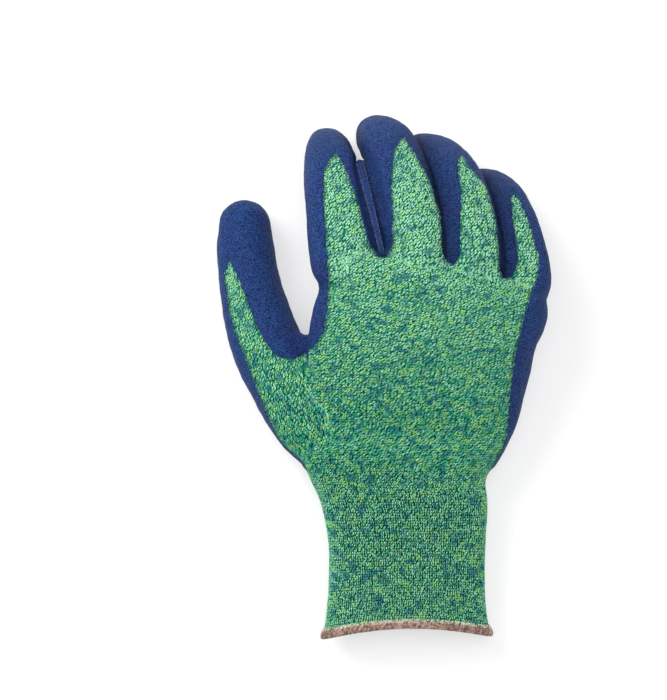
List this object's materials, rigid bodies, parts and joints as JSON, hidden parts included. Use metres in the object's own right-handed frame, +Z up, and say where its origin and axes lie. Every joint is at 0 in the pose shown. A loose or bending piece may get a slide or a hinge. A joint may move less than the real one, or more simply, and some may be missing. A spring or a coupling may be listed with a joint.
{
  "type": "knitted work glove with latex palm",
  "caption": "Right-hand seamless knit work glove with a long ribbed cuff, an overlocked hem and a crinkled latex coat over palm, thumb and fingertips, lying palm down.",
  "frame": {"origin": "on the table, under the middle of the glove's bounding box", "axes": "+X from the thumb to the little finger, +Y from the cuff to the fingertips, +Z up, out of the back of the hand"},
  "size_m": [0.1546, 0.2432, 0.0632],
  "materials": {
    "knit": "matte melange knit in teal, green and lime",
    "latex": "matte crinkled",
    "overlock_yarn": "matte"
  },
  "bodies": {
    "root": {"knit_liner": "knit", "latex_coat": "latex", "cuff_hem": "overlock_yarn"}
  },
  "joints": []
}
